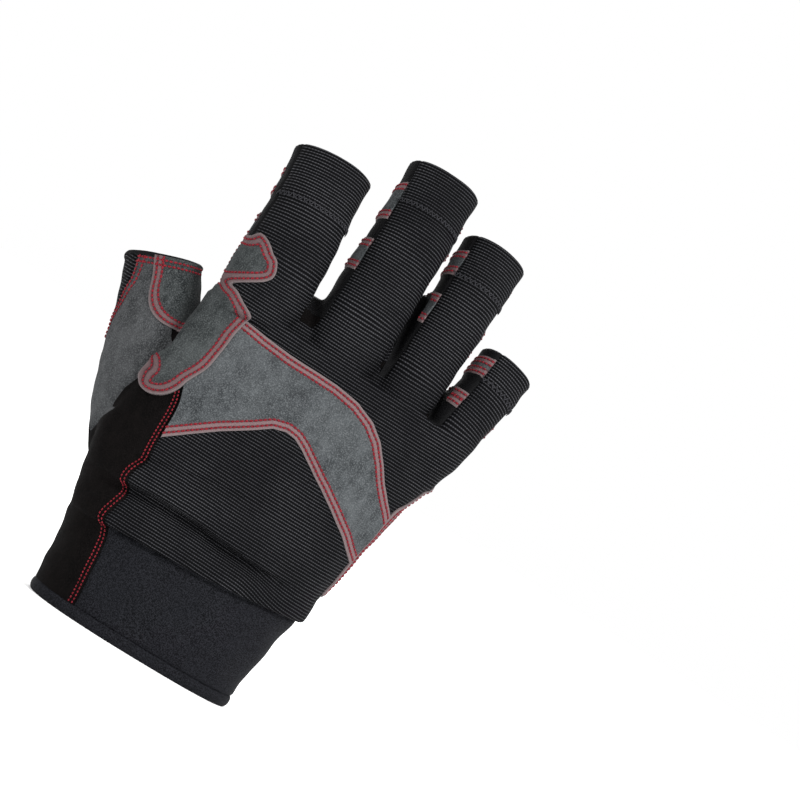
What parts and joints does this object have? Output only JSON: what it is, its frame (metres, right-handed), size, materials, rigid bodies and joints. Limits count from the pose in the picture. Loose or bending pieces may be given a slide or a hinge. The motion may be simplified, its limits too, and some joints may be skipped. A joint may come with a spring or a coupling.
{
  "type": "short-finger sailing glove",
  "caption": "Right-hand short-finger sailing glove with ribbed stretch back, suede overlays, smooth cuff, wrist strap and hinged finger and thumb sleeves.",
  "frame": {"origin": "centre of the cuff opening, on the flat end of the cuff", "axes": "+Z to the fingertips, +X to the little finger, the back of the hand faces -Y and the palm +Y"},
  "size_m": [0.1338, 0.0563, 0.1856],
  "materials": {
    "ribbed_stretch": "ribbed knit",
    "grey_suede": "brushed synthetic suede",
    "black_suede": "brushed synthetic suede",
    "smooth_stretch": "smooth knit",
    "neoprene": "jersey-faced neoprene",
    "binding": "woven tape",
    "hook_loop": "hook-and-loop",
    "red_thread": "sewing thread"
  },
  "bodies": {
    "hand": {"back_panel": "ribbed_stretch", "side_panel": "black_suede", "thenar_panel": "grey_suede", "palm_panel": "black_suede", "back_overlay": "grey_suede", "web_patch": "grey_suede", "palm_patch": "grey_suede", "heel_patch": "grey_suede", "edge_patch": "grey_suede", "cuff_band": "neoprene", "cuff_hem": "neoprene", "loop_patch": "hook_loop", "strap_anchor": "neoprene"},
    "index_base": {"index_base_back": "ribbed_stretch", "index_base_wrap": "smooth_stretch", "index_base_patch": "grey_suede", "web_patch_lobe": "grey_suede"},
    "index_tip": {"index_tip_back": "ribbed_stretch", "index_tip_wrap": "smooth_stretch", "index_tip_patch": "grey_suede"},
    "middle_base": {"middle_base_back": "ribbed_stretch", "middle_base_wrap": "smooth_stretch", "middle_base_patch": "grey_suede"},
    "middle_tip": {"middle_tip_back": "ribbed_stretch", "middle_tip_wrap": "smooth_stretch", "middle_tip_patch": "grey_suede"},
    "ring_base": {"ring_base_back": "ribbed_stretch", "ring_base_wrap": "smooth_stretch", "ring_base_patch": "grey_suede"},
    "ring_tip": {"ring_tip_back": "ribbed_stretch", "ring_tip_wrap": "smooth_stretch", "ring_tip_patch": "grey_suede"},
    "little_base": {"little_base_back": "ribbed_stretch", "little_base_wrap": "smooth_stretch", "little_base_patch": "grey_suede"},
    "little_tip": {"little_tip_back": "ribbed_stretch", "little_tip_wrap": "smooth_stretch", "little_tip_patch": "grey_suede"},
    "thumb": {"thumb_back": "ribbed_stretch", "thumb_outer_panel": "grey_suede", "thumb_inner_patch": "grey_suede", "thumb_palm": "black_suede", "thumb_binding": "binding"},
    "strap": {"wrist_strap": "neoprene", "hook_patch": "hook_loop"}
  },
  "joints": [
    {"name": "index_knuckle", "type": "hinge", "parent": "hand", "child": "index_base", "pos_m": [-0.02456, 0.01241, 0.12398], "axis": [-0.9997, 0, -0.0262], "range_deg": [-10, 70], "stiffness_Nm_per_rad": 0.04},
    {"name": "index_middle_joint", "type": "hinge", "parent": "index_base", "child": "index_tip", "pos_m": [-0.02505, 0.01403, 0.14253], "axis": [-0.9997, 0, -0.0262], "range_deg": [-5, 75], "stiffness_Nm_per_rad": 0.02},
    {"name": "middle_knuckle", "type": "hinge", "parent": "hand", "child": "middle_base", "pos_m": [0.00695, 0.0126, 0.12345], "axis": [-0.9994, 0, 0.0349], "range_deg": [-10, 70], "stiffness_Nm_per_rad": 0.04},
    {"name": "middle_middle_joint", "type": "hinge", "parent": "middle_base", "child": "middle_tip", "pos_m": [0.00799, 0.01572, 0.15335], "axis": [-0.9994, 0, 0.0349], "range_deg": [-5, 75], "stiffness_Nm_per_rad": 0.02},
    {"name": "ring_knuckle", "type": "hinge", "parent": "hand", "child": "ring_base", "pos_m": [0.03208, 0.01089, 0.11747], "axis": [-0.9969, 0, 0.0785], "range_deg": [-10, 70], "stiffness_Nm_per_rad": 0.04},
    {"name": "ring_middle_joint", "type": "hinge", "parent": "ring_base", "child": "ring_tip", "pos_m": [0.03462, 0.01561, 0.14977], "axis": [-0.9969, 0, 0.0785], "range_deg": [-5, 75], "stiffness_Nm_per_rad": 0.02},
    {"name": "little_knuckle", "type": "hinge", "parent": "hand", "child": "little_base", "pos_m": [0.05232, 0.01001, 0.10969], "axis": [-0.9781, 0, 0.2079], "range_deg": [-10, 70], "stiffness_Nm_per_rad": 0.04},
    {"name": "little_middle_joint", "type": "hinge", "parent": "little_base", "child": "little_tip", "pos_m": [0.05605, 0.01263, 0.12725], "axis": [-0.9781, 0, 0.2079], "range_deg": [-5, 75], "stiffness_Nm_per_rad": 0.02},
    {"name": "thumb_bend", "type": "hinge", "parent": "hand", "child": "thumb", "pos_m": [-0.03509, 0.02591, 0.09594], "axis": [-0.56, 0.7642, -0.3201], "range_deg": [-5, 40], "stiffness_Nm_per_rad": 0.04},
    {"name": "wrist_strap_peel", "type": "hinge", "parent": "hand", "child": "strap", "pos_m": [0.024, 0.02331, 0.0185], "axis": [0, 0, -1], "range_deg": [0, 130], "stiffness_Nm_per_rad": 0.01}
  ]
}
